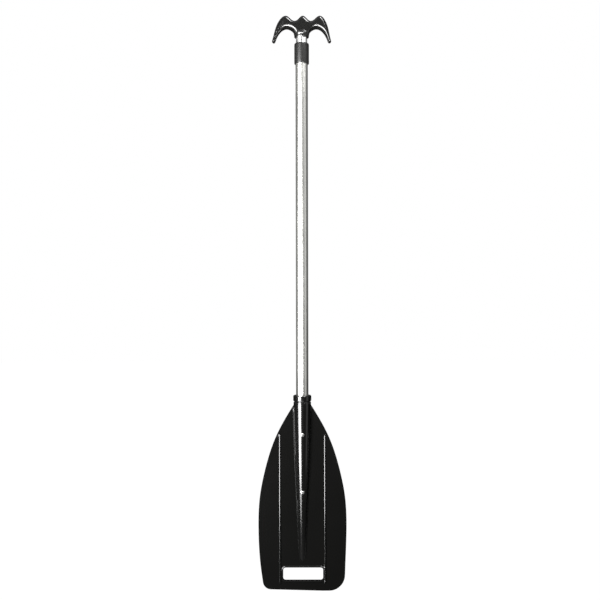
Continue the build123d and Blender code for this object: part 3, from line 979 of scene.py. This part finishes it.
    def rivet(self) -> Shell:
        """The small drive rivet: a domed head and a shank."""
        seat = self.tube_radius - self.rivet_sink
        corners = [
            [0.0, self.rivet_back], [self.rivet_shank, self.rivet_back], [self.rivet_shank, seat],
            [self.rivet_radius, seat], [self.rivet_radius, self.rivet_front],
            [0.0, self.rivet_front],
        ]
        soft = np.array([0.1, 0.05, 0.1, 0.7]) * MM
        return turned(rounded(corners, soft), 40, self.rivet_z)

    def build(self, finishes: "Finishes") -> None:
        """Makes the handle's pieces and dresses them."""
        hooks, body = self.moulded(), "handle_section"
        tube, rivet = self.tube().piece("inner_tube_skin"), self.rivet().piece("handle_rivet_head")
        dress(hooks, "hook_handle", body, finishes.handle)
        dress(tube, "inner_tube", body, finishes.inner_tube)
        # the handle rivet's head takes the near-black finish that is painted hole shade on the
        # mandrels
        dress(rivet, "handle_rivet", body, finishes.mandrel)


# ------------ hidden lock
@dataclass
class HiddenParts:
    """The CAD's own plugs, rings and screws, which only need their finishes."""

    def dress(self, nodes: dict[str, bpy.types.Object], finishes: "Finishes") -> None:
        """Gives each remaining CAD node its material."""
        wanted = {
            finishes.plug: ["tube_plug"],
            # the mandrels' near-black finish is painted shade for the rivet holes
            finishes.mandrel: ["blade_rivet_mandrels"],
            finishes.nylon: ["lock_plug", "glide_ring", "lock_cam"],
            finishes.screw: ["lock_pin", "cam_washer", "cam_screw"],
        }
        for finish, names in wanted.items():
            material = finish.material()
            for node in names:
                for slot in nodes[node].material_slots:
                    slot.material = material
                LOG.info("%s: dressed in %s", node, finish.name)


@dataclass(frozen=True)
class Finishes:
    """Every finish on the paddle."""

    blade: MouldedBlack = MouldedBlack("blade_black", Grain.SATIN, polish_from=2.2 * MM)
    handle: MouldedBlack = MouldedBlack("handle_black", Grain.FINE, tone=0.002, roughness=0.22)
    collar: MouldedBlack = MouldedBlack("collar_black", Grain.MOTTLED, 0.004, 0.36, gloss=0.7)
    plug: MouldedBlack = MouldedBlack("plug_black", Grain.FINE, tone=0.01, roughness=0.35)
    tube: DrawnAluminium = DrawnAluminium("satin_tube", roughness=0.30)
    inner_tube: DrawnAluminium = DrawnAluminium("bright_tube", (0.86, 0.86, 0.85), 0.33, 0.08)
    rivet: TurnedMetal = TurnedMetal("rivet_metal", (0.52, 0.52, 0.51), 0.34)
    # Near-black metal: on the blade rivets' mandrels it is painted shade for the holes they sit
    # in; the handle rivet's head wears it too
    mandrel: TurnedMetal = TurnedMetal("near_black_metal_painted_hole_shade", (0.12, 0.12, 0.12), 0.5)
    screw: TurnedMetal = TurnedMetal("screw_metal", (0.55, 0.55, 0.55))
    nylon: NaturalNylon = NaturalNylon("natural_nylon")


# ------------ studio
@dataclass(frozen=True)
class Softbox:
    """One rectangular lamp and where it stands.

    The bearing is in degrees to the right of the camera's side, seen from the paddle, the
    distance is from the shaft, and aim_z is the level on the shaft that the lamp faces.
    """

    name: str
    bearing: float
    distance: float
    height: float
    size: tuple[float, float]
    power: float
    aim_z: float
    spread: float = 180.0

    def build(self) -> None:
        """Puts the lamp in the scene."""
        data = bpy.data.lights.new(self.name, "AREA")
        data.shape = "RECTANGLE"
        data.size, data.size_y = self.size
        data.energy = self.power
        data.spread = radians(self.spread)
        lamp = bpy.data.objects.new(self.name, data)
        angle = radians(self.bearing)
        lamp.location = (self.distance * sin(angle), -self.distance * cos(angle), self.height)
        aim = Vector((0.0, 0.0, self.aim_z)) - lamp.location
        lamp.rotation_euler = aim.to_track_quat("-Z", "Y").to_euler()
        bpy.context.scene.collection.objects.link(lamp)


@dataclass
class Studio:
    """The floor, the lamps, the bright surround and the camera."""

    camera_distance: float = 1.570
    camera_height: float = 0.5976
    camera_x: float = -0.0043
    camera_roll: float = radians(0.11)
    picture_width: float = 1.2342  # seen at the paddle
    sensor: float = 36.0
    surround_light: float = 0.10
    floor_half: float = 12.0
    floor_z: float = -0.5  # so far down that the lamps reach the paddle from below
    lamps: tuple[Softbox, ...] = (
        Softbox("key", -36.0, 1.2, 0.56, (0.70, 1.52), 108.0, 0.56),
        Softbox("right_fill", 66.0, 1.7, 0.9, (0.9, 2.4), 4.0, 0.7),
        Softbox("right_top", 45.0, 1.3, 2.6, (0.8, 0.8), 60.0, 1.15),
        Softbox("low_front", -3.0, 0.9, 0.0, (2.2, 0.25), 20.0, 1.16, 60.0),
        Softbox("overhead", 0.0, 0.4, 2.9, (2.4, 2.4), 8.0, 0.0),
    )

    def camera(self) -> None:
        """A level camera at mid height, straight in front."""
        data = bpy.data.cameras.new("camera")
        data.sensor_width = self.sensor
        data.lens = self.sensor * self.camera_distance / self.picture_width
        camera = bpy.data.objects.new("camera", data)
        camera.location = (self.camera_x, -self.camera_distance, self.camera_height)
        camera.rotation_euler = (pi / 2, self.camera_roll, 0.0)
        bpy.context.scene.collection.objects.link(camera)
        bpy.context.scene.camera = camera

    def floor(self) -> None:
        """A wide pale floor under the hanging paddle, as bright as the surround."""
        half, level = self.floor_half, self.floor_z
        corners = np.array([[-half, -half], [half, -half], [half, half], [-half, half]])
        points = np.column_stack([corners, np.full(4, level)])
        floor = Shell(points, [np.array([[0, 1, 2, 3]])]).piece("floor")
        shader = Shader("pale_floor")
        seen = shader.node("ShaderNodeLightPath", {}, {}, "Is Camera Ray")
        material = shader.finish(
            Base_Color=(0.04, 0.04, 0.04, 1.0), Roughness=0.9, Specular_IOR_Level=0.0,
            Emission_Color=(1.0, 1.0, 1.0, 1.0), Emission_Strength=seen,
        )
        floor.data.materials.append(material)

    def surround(self) -> None:
        """A white surround to the eye that lights the paddle only softly."""
        world = bpy.data.worlds.new("surround")
        world.use_nodes = True
        tree = world.node_tree
        back = tree.nodes["Background"]
        path = tree.nodes.new("ShaderNodeLightPath")
        mix = tree.nodes.new("ShaderNodeMapRange")
        mix.inputs["To Min"].default_value = self.surround_light
        tree.links.new(path.outputs["Is Camera Ray"], mix.inputs["Value"])
        tree.links.new(mix.outputs[0], back.inputs["Strength"])
        back.inputs["Color"].default_value = (1.0, 1.0, 1.0, 1.0)
        bpy.context.scene.world = world

    def build(self) -> None:
        """Sets up the studio."""
        self.camera()
        self.floor()
        self.surround()
        for lamp in self.lamps:
            lamp.build()
        bpy.context.scene.view_settings.view_transform = "Standard"


def main() -> None:
    """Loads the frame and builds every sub-assembly in order."""
    logging.basicConfig(level=logging.INFO, format="%(name)s %(message)s")
    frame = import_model()
    finishes = Finishes()
    Studio().build()
    blade = Blade()
    blade.build(finishes.blade)
    Shaft().build(blade, finishes)
    Handle().build(finishes)
    HiddenParts().dress(frame["nodes"], finishes)


if __name__ == "__main__":
    main()
